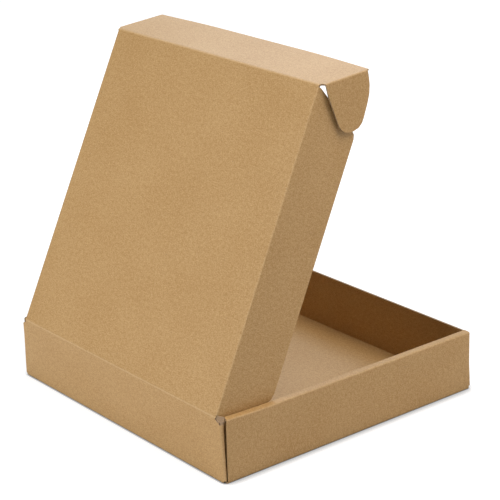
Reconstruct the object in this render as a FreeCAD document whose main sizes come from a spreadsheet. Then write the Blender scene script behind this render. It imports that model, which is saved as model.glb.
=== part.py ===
import FreeCAD, Part
import math
import os
import re

import Sketcher

# A folding shirt box of thin kraft corrugated board, all from one die-cut sheet.
# Frame: the origin is the middle of the floor's underside, X runs along the hinge, the hinge wall
# stands at +Y, the front wall at -Y, and +Z is up. Lengths are in millimetres, angles in degrees.
# Three solids share the sheet's folds: the tray, the lid with its two wings, and the tuck flap with
# its two lock ears.

doc = FreeCAD.newDocument("ShirtBox")

# ---------------------------------------------------------------------------------------------
# Driving sizes
# ---------------------------------------------------------------------------------------------

SIZES = [
    ("board_thickness", "1.5", "fine-fluted board, through both liners"),
    ("fold_radius", "1.2", "outside round of every fold"),
    ("box_width", "290", "outside, across the side walls"),
    ("box_depth", "272", "outside, hinge wall to front wall, at the floor"),
    ("side_height", "52.5", "top of the rolled side walls and of the front wall"),
    ("hinge_rise", "3", "hinge crease above the side walls, so that the lid lies over them"),
    ("hinge_lean", "1.5", "how far the lid pushes the hinge wall's top outwards"),
    ("rim_width", "7.4", "flat top of a rolled side wall"),
    ("side_setback", "1.2", "side wall's cut ends, back from the end walls' faces"),
    ("rim_setback", "2.6", "rim's ends at the outer crease, back from the end walls' faces"),
    ("inner_setback", "6.5", "inner panel's ends at the top, back from the end walls' faces"),
    ("foot_setback", "3.2", "inner panel's ends at the floor, back from the end walls' faces"),
    ("floor_play", "0.2", "inner panel's lower edge above the floor sheet"),
    ("tab_width", "32", "lock tab on the inner panel's lower edge"),
    ("tab_spacing", "150", "between a side's two lock tabs"),
    ("tab_rise", "0.1", "lock tab's end above the underside"),
    ("slot_play", "0.3", "slot round a lock tab"),
    ("wall_play", "0.4", "end wall's lower corner inside the side wall"),
    ("wall_taper", "2.2", "how much narrower each end of an end wall is at the top"),
    ("corner_squeeze", "0.2", "board less the outside round where an end wall turns into its ear"),
    ("ear_length", "62", "end wall's ears, along the side walls"),
    ("ear_lift", "2.5", "ear's lower edge above the underside"),
    ("ear_drop", "2", "ear's upper edge below the top of the side walls"),
    ("ear_round", "7", "ear's free corners"),
    ("relief_radius", "3", "round relief where the hinge crease ends"),
    ("relief_reach", "1", "that relief's centre beyond the lid's side crease"),
    ("crease_gap", "0.15", "free line along the two moving creases"),
    ("lid_angle", "65", "lid's opening at rest, from closed"),
    ("tuck_play", "2", "closed lid's tuck crease behind the front wall"),
    ("lid_play", "0.4", "lid's side crease inside the rolled wall, at the hinge"),
    ("lid_narrowing", "3.6", "how much nearer the middle that crease is at the tuck flap"),
    ("wing_play", "1", "closed wing's free edge above the floor sheet"),
    ("wing_back_start", "2.4", "wing's hinge end along the crease"),
    ("wing_back_knee", "14", "depth at which that end starts to slant"),
    ("wing_back_slant", "18.3", "how far it slants from there to the free edge"),
    ("wing_front_start", "1.6", "wing's front end, back from the tuck crease"),
    ("wing_front_slant", "26", "how far that end slants by the free edge"),
    ("wing_back_round", "10", "wing's free corner near the hinge"),
    ("wing_front_round", "7", "wing's free corner near the tuck flap"),
    ("flap_fold", "60.5", "tuck flap's fold at rest, from flat"),
    ("flap_mitre", "1.9", "bevel on both sides of the tuck crease"),
    ("lock_play", "0.4", "lock ear inside the rolled wall"),
    ("flap_play", "1.5", "length that the tuck flap lacks to reach the floor sheet"),
    ("flap_end_drop", "3", "how much shorter the tuck flap is at its ends"),
    ("flap_straight", "75", "half of the free edge's straight middle"),
    ("flap_round", "900", "soft corners of the free edge"),
    ("flap_tip_round", "1.5", "tuck flap's outer corners"),
    ("notch_radius", "2.2", "round notch between the tuck crease and an ear crease"),
    ("notch_reach", "2.2", "that notch's centre beyond the end of the tuck crease"),
    ("notch_lift", "1.2", "that notch's centre from the tuck crease"),
    ("lock_start", "3.8", "lock ear's root, from the tuck crease"),
    ("lock_end_play", "2.2", "lock ear's root, back from the flap's end depth"),
    ("lock_depth", "45.5", "lock ear's tip from the flap's face"),
    ("lock_tip_width", "19.8", "ear's tip between its unrounded corners"),
    ("lock_tip_inset", "11", "far corner of that tip, back from the root's far end"),
    ("lock_belly", "2.3", "widest point of the ear's outer edge, beyond the root's far end"),
    ("lock_belly_depth", "16", "depth of that point"),
    ("lock_tip_round", "12.3", "round of the ear's tip"),
    ("lock_belly_round", "38", "round of the ear's outer edge"),
]

sheet = doc.addObject("Spreadsheet::Sheet", "Sizes")
for row, (alias, value, meaning) in enumerate(SIZES, start=1):
    sheet.set(f"A{row}", alias)
    sheet.set(f"B{row}", value)
    sheet.setAlias(f"B{row}", alias)
    sheet.set(f"C{row}", meaning)
doc.recompute()


# ---------------------------------------------------------------------------------------------
# Modelling steps
# ---------------------------------------------------------------------------------------------

ACROSS = FreeCAD.Vector(1, 0, 0)
UP_THE_SKETCH = FreeCAD.Vector(0, 1, 0)


def tied(formula):
    """Points every size in a formula at its cell in the sheet."""
    return re.sub(r"\b[a-z]+(_[a-z]+)+\b", lambda name: "Sizes." + name.group(), str(formula))


def worth(formula):
    """Gives the present value of a formula, an angle in degrees."""
    value = sheet.evalExpression(tied(formula))
    return float(getattr(value, "Value", value))


def start_body(name):
    """Starts one sub-part; its label names its file."""
    body = doc.addObject("PartDesign::Body", name)
    body.Label = name
    return body


def start_sketch(body, name, plane, lift, turn_axis, turn):
    """Lays a sketch on one of the body's planes, lifted along its normal and turned if asked."""
    sketch = body.newObject("Sketcher::SketchObject", name)
    base = next(item for item in body.Origin.OriginFeatures if item.Role == plane)
    sketch.AttachmentSupport = [(base, "")]
    sketch.MapMode = "FlatFace"
    if turn_axis is not None:
        turned = FreeCAD.Rotation(turn_axis, worth(turn))
        sketch.AttachmentOffset = FreeCAD.Placement(FreeCAD.Vector(), turned)
        sketch.setExpression("AttachmentOffset.Rotation.Angle", tied(turn))
    sketch.setExpression("AttachmentOffset.Base.z", tied(lift))
    return sketch


def pin_point(sketch, geometry, end, across, up):
    """Ties a point of the sketch to the sheet, measured from the sketch's origin."""
    for direction, formula in (("DistanceX", across), ("DistanceY", up)):
        rule = Sketcher.Constraint(direction, -1, 1, geometry, end, worth(formula))
        index = sketch.addConstraint(rule)
        sketch.renameConstraint(index, f"{direction}_{geometry}")
        sketch.setExpression(f"Constraints.{direction}_{geometry}", tied(formula))


def draw(body, name, plane, corners, lift="0", turn_axis=None, turn="0"):
    """Draws a closed outline. A corner is (across, up), or (across, up, radius) if it is round."""
    sketch = start_sketch(body, name, plane, lift, turn_axis, turn)
    points = [FreeCAD.Vector(worth(corner[0]), worth(corner[1]), 0) for corner in corners]
    count = len(points)

    # A round corner takes some of the lines on its two sides.
    line_start, line_end, arcs = {}, {}, {}
    for index, point in enumerate(points):
        back = (points[index - 1] - point).normalize()
        onward = (points[(index + 1) % count] - point).normalize()
        reach = 0
        if len(corners[index]) == 3:
            half_angle = back.getAngle(onward) / 2
            radius = worth(corners[index][2])
            reach = radius / math.tan(half_angle)
            to_centre = (back + onward).normalize()
            arcs[index] = point + to_centre * (radius / math.sin(half_angle) - radius)
        line_end[(index - 1) % count] = point + back * reach
        line_start[index] = point + onward * reach
    for index in range(count):
        sketch.addGeometry(Part.LineSegment(line_start[index], line_end[index]), False)

    for index, (across, up, *rounding) in enumerate(corners):
        before = (index - 1) % count
        if not rounding:
            sketch.addConstraint(Sketcher.Constraint("Coincident", before, 2, index, 1))
            pin_point(sketch, index, 1, across, up)
            continue
        middle = arcs[index]
        arc = Part.Arc(line_end[before], middle, line_start[index])
        bend = sketch.addGeometry(arc, False)
        starts_first = sketch.getPoint(bend, 1).isEqual(line_end[before], 1e-6)
        first, last = (1, 2) if starts_first else (2, 1)
        sketch.addConstraint(Sketcher.Constraint("Tangent", before, 2, bend, first))
        sketch.addConstraint(Sketcher.Constraint("Tangent", bend, last, index, 1))
        size = sketch.addConstraint(Sketcher.Constraint("Radius", bend, worth(rounding[0])))
        sketch.renameConstraint(size, f"Radius_{bend}")
        sketch.setExpression(f"Constraints.Radius_{bend}", tied(rounding[0]))
        corner = sketch.addGeometry(Part.Point(points[index]), True)
        sketch.addConstraint(Sketcher.Constraint("PointOnObject", corner, 1, before))
        sketch.addConstraint(Sketcher.Constraint("PointOnObject", corner, 1, index))
        pin_point(sketch, corner, 1, across, up)
    return sketch


def draw_circle(body, name, plane, across, up, radius):
    """Draws a circle for a round relief."""
    sketch = start_sketch(body, name, plane, "0", None, "0")
    centre = FreeCAD.Vector(worth(across), worth(up), 0)
    sketch.addGeometry(Part.Circle(centre, FreeCAD.Vector(0, 0, 1), worth(radius)), False)
    pin_point(sketch, 0, 3, across, up)
    size = sketch.addConstraint(Sketcher.Constraint("Radius", 0, worth(radius)))
    sketch.renameConstraint(size, "Radius_0")
    sketch.setExpression("Constraints.Radius_0", tied(radius))
    return sketch


def pad(body, sketch, length, both_ways=False, backwards=False):
    """Gives an outline its thickness."""
    feature = body.newObject("PartDesign::Pad", sketch.Name + "_pad")
    feature.Profile = sketch
    feature.setExpression("Length", tied(length))
    feature.SideType = "Symmetric" if both_ways else "One side"
    feature.Reversed = backwards
    doc.recompute()
    return feature


def cut_through(body, sketch):
    """Cuts an outline out of all that lies before and behind its sketch."""
    before = body.Tip.Shape.Volume
    feature = body.newObject("PartDesign::Pocket", sketch.Name + "_cut")
    feature.Profile = sketch
    feature.Type = "ThroughAll"
    feature.SideType = "Symmetric"
    doc.recompute()
    if not feature.Shape.Volume < before:
        raise ValueError(f"{feature.Name} cuts nothing")
    return feature


def cut_blind(body, sketch, length, backwards):
    """Cuts an outline to a depth, against the sketch's normal unless backwards."""
    before = body.Tip.Shape.Volume
    feature = body.newObject("PartDesign::Pocket", sketch.Name + "_cut")
    feature.Profile = sketch
    feature.setExpression("Length", tied(length))
    feature.Reversed = backwards
    doc.recompute()
    if not feature.Shape.Volume < before:
        raise ValueError(f"{feature.Name} cuts nothing")
    return feature


def round_folds(body, name, radius, places):
    """Rounds the straight edges that pass through the places given."""
    base = body.Tip
    names = []
    for place in places:
        point = Part.Vertex(*[worth(formula) for formula in place])
        near = [edge.distToShape(point)[0] for edge in base.Shape.Edges]
        nearest = min(near)
        if nearest > 0.01:
            raise ValueError(f"{name} finds no fold at {place}")
        names.append(f"Edge{near.index(nearest) + 1}")
    feature = body.newObject("PartDesign::Fillet", name)
    feature.Base = (base, names)
    feature.setExpression("Radius", tied(radius))
    doc.recompute()
    if feature.Shape.isNull():
        raise ValueError(f"{name} could not be rounded")
    return feature


# ---------------------------------------------------------------------------------------------
# Tray: floor, two end walls with ears, two rolled side walls
# ---------------------------------------------------------------------------------------------

tray = start_body("tray")

HALF_WIDTH = "box_width / 2"
HALF_DEPTH = "box_depth / 2"
WALL_FOOT_HALF = f"({HALF_WIDTH} - board_thickness - wall_play)"
WALL_SLOPE = "(wall_taper / side_height)"
HINGE_HEIGHT = "(side_height + hinge_rise)"
RIM_INSIDE = f"({HALF_WIDTH} - rim_width)"
LID_BACK_HALF = f"({RIM_INSIDE} - lid_play)"

FLOOR_HALF_WIDTH = f"({HALF_WIDTH} - board_thickness / 2)"
FLOOR_HALF_DEPTH = f"({HALF_DEPTH} - board_thickness / 2)"

floor = draw(
    tray,
    "floor_sheet",
    "XY_Plane",
    [
        (f"{side} * {FLOOR_HALF_WIDTH}", f"{end} * {FLOOR_HALF_DEPTH}")
        for side, end in ((-1, -1), (1, -1), (1, 1), (-1, 1))
    ],
)
pad(tray, floor, "board_thickness")

# The rolled side walls lock into four slots through the floor.
for side_name, side in (("left", -1), ("right", 1)):
    for end_name, end in (("front", -1), ("back", 1)):
        inside = f"{side} * ({RIM_INSIDE} - slot_play)"
        outside = f"{side} * ({RIM_INSIDE} + board_thickness + slot_play)"
        near = f"{end} * (tab_spacing - tab_width) / 2 - {end} * slot_play"
        far = f"{end} * (tab_spacing + tab_width) / 2 + {end} * slot_play"
        slot = draw(
            tray,
            f"slot_{side_name}_{end_name}",
            "XY_Plane",
            [(inside, near), (outside, near), (outside, far), (inside, far)],
        )
        cut_through(tray, slot)

# End walls are one sheet thick. The hinge wall's top edge is bevelled inside for the lid's fold.
hinge_wall = draw(
    tray,
    "hinge_wall",
    "YZ_Plane",
    [
        (HALF_DEPTH, "0"),
        (f"{HALF_DEPTH} + hinge_lean", f"{HINGE_HEIGHT}"),
        (f"{HALF_DEPTH} + hinge_lean - board_thickness", f"{HINGE_HEIGHT} - board_thickness"),
        (f"{HALF_DEPTH} - board_thickness", "0"),
    ],
)
pad(tray, hinge_wall, f"2 * {WALL_FOOT_HALF}", both_ways=True)

front_wall = draw(
    tray,
    "front_wall",
    "YZ_Plane",
    [
        (f"-{HALF_DEPTH}", "0"),
        (f"-{HALF_DEPTH}", "side_height"),
        (f"-{HALF_DEPTH} + board_thickness", "side_height"),
        (f"-{HALF_DEPTH} + board_thickness", "0"),
    ],
)
pad(tray, front_wall, f"2 * {WALL_FOOT_HALF}", both_ways=True)

# Four ears fold back from the end walls and stand in the hollow of the rolled side walls. Each is
# first left with some spare board outside, which the taper below trims flush with its wall.
EAR_SPARE = "board_thickness / 2"

for side_name, side in (("left", -1), ("right", 1)):
    for end_name, end, lean, wall_height in (
        ("front", -1, "0", "side_height"),
        ("back", 1, "hinge_lean", HINGE_HEIGHT),
    ):
        top = "(side_height - ear_drop)"
        root = f"{end} * ({HALF_DEPTH} - board_thickness / 2"
        ear = draw(
            tray,
            f"ear_{end_name}_{side_name}",
            "YZ_Plane",
            [
                (f"{root} + {lean} * ear_lift / {wall_height})", "ear_lift"),
                (f"{root} + {lean} * {top} / {wall_height})", top),
                (f"{end} * ({HALF_DEPTH} - ear_length)", top, "ear_round"),
                (f"{end} * ({HALF_DEPTH} - ear_length)", "ear_lift", "ear_round"),
            ],
            lift=f"{side} * ({WALL_FOOT_HALF} + {EAR_SPARE})",
            turn_axis=ACROSS,
            turn=f"-{side} * atan({WALL_SLOPE})",
        )
        thickness = f"board_thickness + {EAR_SPARE} * cos(atan({WALL_SLOPE}))"
        pad(tray, ear, thickness, backwards=side > 0)

# Both end walls narrow towards the top, so that their ears slip inside the rolled side walls.
for side_name, side in (("left", -1), ("right", 1)):
    above = f"({HINGE_HEIGHT} + board_thickness)"
    taper = draw(
        tray,
        f"wall_taper_{side_name}",
        "XZ_Plane",
        [
            (f"{side} * ({WALL_FOOT_HALF} - {WALL_SLOPE} * board_thickness)", "board_thickness"),
            (f"{side} * ({WALL_FOOT_HALF} - {WALL_SLOPE} * {above})", above),
            (f"{side} * box_width", above),
            (f"{side} * box_width", "board_thickness"),
        ],
    )
    cut_through(tray, taper)
    relief = draw_circle(
        tray,
        f"hinge_relief_{side_name}",
        "XZ_Plane",
        f"{side} * ({LID_BACK_HALF} + relief_reach)",
        HINGE_HEIGHT,
        "relief_radius",
    )
    cut_through(tray, relief)

# A small relief lets each corner's two folds meet without tearing.
for side_name, side in (("left", -1), ("right", 1)):
    for end_name, end in (("front", -1), ("back", 1)):
        inside = f"{side} * ({WALL_FOOT_HALF} - board_thickness)"
        outside = f"{side} * box_width"
        near = f"{end} * ({HALF_DEPTH} - board_thickness)"
        far = f"{end} * box_depth"
        corner = draw(
            tray,
            f"corner_{end_name}_{side_name}",
            "XY_Plane",
            [(inside, near), (outside, near), (outside, far), (inside, far)],
        )
        cut_blind(tray, corner, "ear_lift", backwards=True)

round_folds(
    tray,
    "ear_folds",
    "board_thickness - corner_squeeze",
    [
        (
            f"{side} * ({WALL_FOOT_HALF} - {WALL_SLOPE} * side_height / 2)",
            f"{end} * ({HALF_DEPTH} + {lean} * side_height / 2)",
            "side_height / 2",
        )
        for side in (-1, 1)
        for end, lean in ((-1, "0"), (1, f"hinge_lean / {HINGE_HEIGHT}"))
    ],
)

# Each side wall rises, turns over into the flat rim and comes down again to the floor, where two
# tabs on its edge drop into the slots.
for side_name, side in (("left", -1), ("right", 1)):
    outer = draw(
        tray,
        f"side_{side_name}",
        "YZ_Plane",
        [
            (f"-{HALF_DEPTH} + side_setback", "0"),
            (f"{HALF_DEPTH} - side_setback", "0"),
            (f"{HALF_DEPTH} - side_setback", "side_height"),
            (f"-{HALF_DEPTH} + side_setback", "side_height"),
        ],
        lift=f"{side} * {HALF_WIDTH}",
    )
    pad(tray, outer, "board_thickness", backwards=side > 0)

    crease = f"{side} * ({HALF_WIDTH} - board_thickness / 2)"
    rim = draw(
        tray,
        f"rim_{side_name}",
        "XY_Plane",
        [
            (crease, f"-{HALF_DEPTH} + rim_setback"),
            (f"{side} * {RIM_INSIDE}", f"-{HALF_DEPTH} + inner_setback"),
            (f"{side} * {RIM_INSIDE}", f"{HALF_DEPTH} - inner_setback"),
            (crease, f"{HALF_DEPTH} - rim_setback"),
        ],
        lift="side_height - board_thickness",
    )
    pad(tray, rim, "board_thickness")

    foot = "board_thickness + floor_play"
    inner_outline = [
        (f"{HALF_DEPTH} - inner_setback", "side_height"),
        (f"-{HALF_DEPTH} + inner_setback", "side_height"),
        (f"-{HALF_DEPTH} + foot_setback", foot),
    ]
    for tab in (-1, 1):
        inner_outline += [
            (f"{tab} * tab_spacing / 2 - tab_width / 2", foot),
            (f"{tab} * tab_spacing / 2 - tab_width / 2", "tab_rise"),
            (f"{tab} * tab_spacing / 2 + tab_width / 2", "tab_rise"),
            (f"{tab} * tab_spacing / 2 + tab_width / 2", foot),
        ]
    inner_outline.append((f"{HALF_DEPTH} - foot_setback", foot))
    inner = draw(
        tray, f"inner_{side_name}", "YZ_Plane", inner_outline, lift=f"{side} * {RIM_INSIDE}"
    )
    pad(tray, inner, "board_thickness", backwards=side < 0)

round_folds(
    tray,
    "end_folds",
    "fold_radius",
    [("0", f"{end} * {HALF_DEPTH}", "0") for end in (-1, 1)],
)
round_folds(
    tray,
    "side_folds",
    "fold_radius",
    [(f"{side} * {HALF_WIDTH}", "0", height) for side in (-1, 1) for height in ("0", "side_height")]
    + [(f"{side} * {RIM_INSIDE}", "0", "side_height") for side in (-1, 1)],
)

# ---------------------------------------------------------------------------------------------
# Lid: one panel with a wing folded down each side
# ---------------------------------------------------------------------------------------------

# The lid is drawn lying on its outer face, with Y running from the hinge crease to the tuck crease
# and Z into the lid's hollow, and is then turned up about the hinge.
lid = start_body("lid")

HINGE_BACK = f"({HALF_DEPTH} + hinge_lean)"
LID_LENGTH = "(box_depth + hinge_lean - board_thickness - tuck_play)"
LID_FRONT_HALF = f"({LID_BACK_HALF} - lid_narrowing)"
LID_SLOPE = f"(lid_narrowing / {LID_LENGTH})"
WING_DEPTH = f"({HINGE_HEIGHT} - board_thickness - wing_play)"

panel = draw(
    lid,
    "lid_panel",
    "XY_Plane",
    [
        (f"-{LID_BACK_HALF} + {LID_SLOPE} * crease_gap", "crease_gap"),
        (f"{LID_BACK_HALF} - {LID_SLOPE} * crease_gap", "crease_gap"),
        (f"{LID_FRONT_HALF} + {LID_SLOPE} * crease_gap", f"{LID_LENGTH} - crease_gap"),
        (f"-{LID_FRONT_HALF} - {LID_SLOPE} * crease_gap", f"{LID_LENGTH} - crease_gap"),
    ],
)
pad(lid, panel, "board_thickness")

# Both creases are bevelled inside, so that the neighbours can fold square and a little past it.
hinge_bevel = draw(
    lid,
    "hinge_bevel",
    "YZ_Plane",
    [
        ("crease_gap", "0"),
        ("crease_gap + board_thickness", "board_thickness"),
        ("-board_thickness", "board_thickness"),
        ("-board_thickness", "0"),
    ],
)
cut_through(lid, hinge_bevel)
tuck_bevel = draw(
    lid,
    "tuck_bevel",
    "YZ_Plane",
    [
        (f"{LID_LENGTH} - crease_gap", "0"),
        (f"{LID_LENGTH} - crease_gap - flap_mitre", "board_thickness"),
        (f"{LID_LENGTH} + board_thickness", "board_thickness"),
        (f"{LID_LENGTH} + board_thickness", "0"),
    ],
)
cut_through(lid, tuck_bevel)

for side_name, side in (("left", -1), ("right", 1)):
    relief = draw_circle(
        lid,
        f"lid_relief_{side_name}",
        "XY_Plane",
        f"{side} * ({LID_BACK_HALF} + relief_reach)",
        "0",
        "relief_radius",
    )
    cut_through(lid, relief)

WING_FRONT = f"{LID_LENGTH} - wing_front_start"

for side_name, side in (("left", -1), ("right", 1)):
    wing = draw(
        lid,
        f"wing_{side_name}",
        "YZ_Plane",
        [
            ("wing_back_start", "0"),
            ("wing_back_start", "wing_back_knee"),
            ("wing_back_start + wing_back_slant", WING_DEPTH, "wing_back_round"),
            (f"{WING_FRONT} - wing_front_slant", WING_DEPTH, "wing_front_round"),
            (WING_FRONT, "0"),
        ],
        lift=f"{side} * {LID_BACK_HALF}",
        turn_axis=UP_THE_SKETCH,
        turn=f"{side} * atan({LID_SLOPE})",
    )
    pad(lid, wing, "board_thickness", backwards=side > 0)

round_folds(
    lid,
    "wing_folds",
    "fold_radius",
    [
        (f"{side} * ({LID_BACK_HALF} + {LID_FRONT_HALF}) / 2", f"{LID_LENGTH} / 2", "0")
        for side in (-1, 1)
    ],
)

# ---------------------------------------------------------------------------------------------
# Tuck flap: the lid's front flap with a rounded lock ear folded at each end
# ---------------------------------------------------------------------------------------------

# The flap is drawn like the lid, with Y running from the tuck crease to its free edge.
tuck_flap = start_body("tuck_flap")

FLAP_HALF = f"({RIM_INSIDE} - lock_play)"
FLAP_DEPTH = f"({HINGE_HEIGHT} - board_thickness - flap_play)"
FLAP_END_DEPTH = f"({FLAP_DEPTH} - flap_end_drop)"
LOCK_END = f"({FLAP_END_DEPTH} - lock_end_play)"

flap_panel = draw(
    tuck_flap,
    "flap_panel",
    "XY_Plane",
    [
        (f"-{FLAP_HALF}", "crease_gap"),
        (FLAP_HALF, "crease_gap"),
        (FLAP_HALF, FLAP_END_DEPTH, "flap_tip_round"),
        ("flap_straight", FLAP_DEPTH, "flap_round"),
        ("-flap_straight", FLAP_DEPTH, "flap_round"),
        (f"-{FLAP_HALF}", FLAP_END_DEPTH, "flap_tip_round"),
    ],
)
pad(tuck_flap, flap_panel, "board_thickness")

flap_bevel = draw(
    tuck_flap,
    "flap_bevel",
    "YZ_Plane",
    [
        ("crease_gap", "0"),
        ("crease_gap + flap_mitre", "board_thickness"),
        ("-board_thickness", "board_thickness"),
        ("-board_thickness", "0"),
    ],
)
cut_through(tuck_flap, flap_bevel)

for side_name, side in (("left", -1), ("right", 1)):
    notch = draw_circle(
        tuck_flap,
        f"notch_{side_name}",
        "XY_Plane",
        f"{side} * ({LID_FRONT_HALF} + notch_reach)",
        "notch_lift",
        "notch_radius",
    )
    cut_through(tuck_flap, notch)
    lock = draw(
        tuck_flap,
        f"lock_ear_{side_name}",
        "YZ_Plane",
        [
            ("lock_start", "0"),
            (f"{LOCK_END} - lock_tip_inset - lock_tip_width", "lock_depth", "lock_tip_round"),
            (f"{LOCK_END} - lock_tip_inset", "lock_depth", "lock_tip_round"),
            (f"{LOCK_END} + lock_belly", "lock_belly_depth", "lock_belly_round"),
            (LOCK_END, "0"),
        ],
        lift=f"{side} * {FLAP_HALF}",
    )
    pad(tuck_flap, lock, "board_thickness", backwards=side > 0)

round_folds(
    tuck_flap,
    "lock_folds",
    "fold_radius",
    [(f"{side} * {FLAP_HALF}", f"(lock_start + {LOCK_END}) / 2", "0") for side in (-1, 1)],
)

# ---------------------------------------------------------------------------------------------
# The box as it stands: lid up, tuck flap flared forwards
# ---------------------------------------------------------------------------------------------


def turn_up(body, angle, back, height):
    """Turns a flat-drawn body about its crease and lifts it there."""
    body.Placement = FreeCAD.Placement(FreeCAD.Vector(), FreeCAD.Rotation(ACROSS, worth(angle)))
    body.setExpression("Placement.Rotation.Angle", tied(angle))
    body.setExpression("Placement.Base.y", tied(back))
    body.setExpression("Placement.Base.z", tied(height))


turn_up(lid, "180 - lid_angle", HINGE_BACK, HINGE_HEIGHT)
turn_up(
    tuck_flap,
    "180 - lid_angle + flap_fold",
    f"{HINGE_BACK} - {LID_LENGTH} * cos(lid_angle * 1 deg)",
    f"{HINGE_HEIGHT} + {LID_LENGTH} * sin(lid_angle * 1 deg)",
)
doc.recompute()

# ---------------------------------------------------------------------------------------------
# Checks and files
# ---------------------------------------------------------------------------------------------

for item in doc.Objects:
    if "Invalid" in item.State or "Error" in item.State:
        raise ValueError(f"{item.Label} failed: {item.State}")

os.makedirs("parts", exist_ok=True)
for body in (tray, lid, tuck_flap):
    shape = body.Shape
    if shape.isNull() or not shape.isValid() or len(shape.Solids) != 1:
        raise ValueError(f"{body.Label} is not one valid solid")
    shape.exportStep(f"parts/{body.Label}.step")
    print(body.Label, round(shape.Volume), shape.BoundBox)
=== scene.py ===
import math
from collections import namedtuple
from functools import partial

import bmesh
import bpy
from mathutils import Matrix, Vector


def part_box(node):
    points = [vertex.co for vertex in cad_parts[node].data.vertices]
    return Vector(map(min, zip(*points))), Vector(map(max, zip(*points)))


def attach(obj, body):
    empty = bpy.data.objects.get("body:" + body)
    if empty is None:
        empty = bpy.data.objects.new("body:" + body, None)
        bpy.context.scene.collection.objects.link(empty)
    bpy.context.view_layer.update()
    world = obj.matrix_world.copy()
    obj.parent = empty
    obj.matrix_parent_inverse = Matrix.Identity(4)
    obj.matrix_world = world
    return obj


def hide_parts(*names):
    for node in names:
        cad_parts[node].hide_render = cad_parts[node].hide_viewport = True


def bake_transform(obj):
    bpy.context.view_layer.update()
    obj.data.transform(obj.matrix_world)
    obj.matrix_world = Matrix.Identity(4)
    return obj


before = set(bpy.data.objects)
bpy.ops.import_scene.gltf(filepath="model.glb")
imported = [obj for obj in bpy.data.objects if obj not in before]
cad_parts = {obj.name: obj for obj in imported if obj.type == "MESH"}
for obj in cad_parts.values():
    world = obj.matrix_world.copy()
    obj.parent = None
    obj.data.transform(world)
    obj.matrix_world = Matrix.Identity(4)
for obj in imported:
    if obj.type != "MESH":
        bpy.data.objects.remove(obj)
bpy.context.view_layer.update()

# ---------------------------------------------------------------------------------------------
# Tray
# One piece of fine-fluted kraft board, 1.5 mm through both liners. The floor and its four walls are
# one blank: the two side walls are rolled over and locked into slots in the floor, and the two end
# walls turn into ears that stand in the hollow of the rolled walls.
# ---------------------------------------------------------------------------------------------

BOARD = 0.0015
FLUTE_PITCH = 0.0032
LINER_SHADE = (0.386, 0.212, 0.061)
LINER_LIGHT = (0.554, 0.355, 0.154)
# Pale rubbed paper on the folds, which also serves as a painted highlight there.
LINER_WEAR_AND_HIGHLIGHT = (0.62, 0.43, 0.23)
DARK_SPECK = (0.24, 0.14, 0.065)
PALE_SPECK = (0.66, 0.49, 0.29)
# CORE_SHADE is painted shade for the hollows in a cut edge.
CORE_SHADE = (0.22, 0.135, 0.065)
CORE_PAPER = (0.56, 0.39, 0.22)


def node_maths(tree, operation, first, second=0, clamp=False):
    """Adds a sum to a material. Each side of it is a number or what another node gives."""
    node = tree.nodes.new("ShaderNodeMath")
    node.operation = operation
    node.use_clamp = clamp
    for socket, value in zip(node.inputs, (first, second)):
        if isinstance(value, (int, float)):
            socket.default_value = value
        else:
            tree.links.new(value, socket)
    return node.outputs["Value"]


def parted(tree, vector):
    """The X, Y and Z of a vector."""
    split = tree.nodes.new("ShaderNodeSeparateXYZ")
    tree.links.new(vector, split.inputs["Vector"])
    return split.outputs


def blank_place(tree):
    """The place on the flat blank, in metres, with Z from 0 outside to 1 inside the board."""
    place = tree.nodes.new("ShaderNodeAttribute")
    place.attribute_name = "blank"
    return place.outputs["Vector"]


def flute_wave(tree, across):
    """The wave of the paper between the two liners."""
    return node_maths(tree, "SINE", node_maths(tree, "MULTIPLY", across, math.tau / FLUTE_PITCH))


def emboss(tree, height, strength, depth):
    """Lets a height stand out on the material's surface."""
    bump = tree.nodes.new("ShaderNodeBump")
    bump.inputs["Strength"].default_value = strength
    bump.inputs["Distance"].default_value = depth
    tree.links.new(height, bump.inputs["Height"])
    tree.links.new(bump.outputs["Normal"], tree.nodes["Principled BSDF"].inputs["Normal"])


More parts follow.
